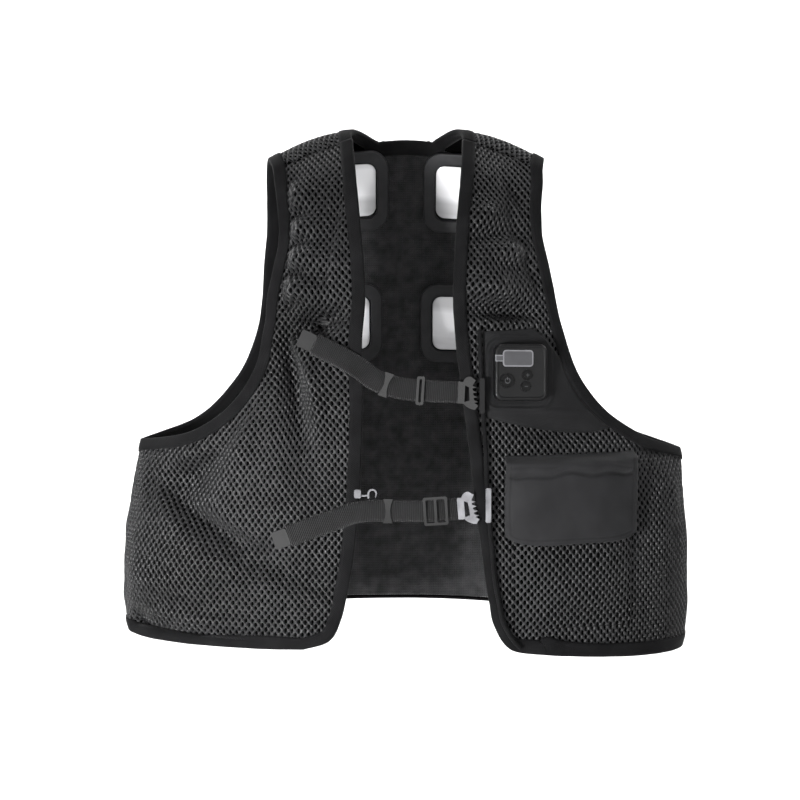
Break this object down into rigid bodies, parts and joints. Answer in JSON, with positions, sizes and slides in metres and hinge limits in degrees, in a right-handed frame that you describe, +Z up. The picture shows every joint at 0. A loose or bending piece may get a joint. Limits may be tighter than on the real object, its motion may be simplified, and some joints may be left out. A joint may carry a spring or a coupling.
{
  "type": "cooling vest",
  "caption": "Sleeveless mesh work vest, open down the front, with cold plates inside the back, a push-button controller, a flap pocket and webbing straps that hook on a rail.",
  "frame": {"origin": "the middle of the neck opening, on the level of the wearer's shoulders, where the vest hangs from them", "axes": "+X towards the wearer's left, -Y towards the front of the vest, +Z up the wearer's body"},
  "size_m": [0.6827, 0.2381, 0.6199],
  "materials": {
    "mesh": "black spacer mesh, matt",
    "lining": "fine dark knit",
    "tape": "woven edge tape, matt",
    "rubber": "matt grey rubber",
    "metal": "polished, mirror-like",
    "patch": "smooth woven cloth",
    "plastic": "fine matt",
    "display": "printed symbol",
    "webbing": "ribbed webbing",
    "hardware": "glossy moulded plastic",
    "clip": "light grey moulded plastic"
  },
  "bodies": {
    "root": {"front_panel_right": "mesh", "front_panel_left": "mesh", "back_panel": "mesh", "pocket_body": "mesh", "back_lining": "lining", "neck_binding": "tape", "front_binding_right": "tape", "front_binding_left": "tape", "back_hem_binding": "tape", "armhole_binding_right": "tape", "armhole_binding_left": "tape", "rail": "tape", "plate_gasket_1": "rubber", "plate_gasket_2": "rubber", "plate_gasket_3": "rubber", "plate_gasket_4": "rubber", "cold_plate_1": "metal", "cold_plate_2": "metal", "cold_plate_3": "metal", "cold_plate_4": "metal", "controller_patch": "patch", "pocket_flap": "patch", "controller_body": "plastic", "power_key": "plastic", "plus_key": "plastic", "minus_key": "plastic", "controller_display": "display", "strap_upper": "webbing", "strap_end_upper": "webbing", "keeper_upper": "hardware", "adjuster_upper": "hardware", "hook_upper": "hardware", "slider_upper": "hardware", "strap_lower": "webbing", "strap_end_lower": "webbing", "keeper_lower": "hardware", "adjuster_lower": "hardware", "hook_lower": "hardware", "slider_lower": "hardware", "edge_clip": "clip", "edge_loop": "clip"}
  },
  "joints": []
}
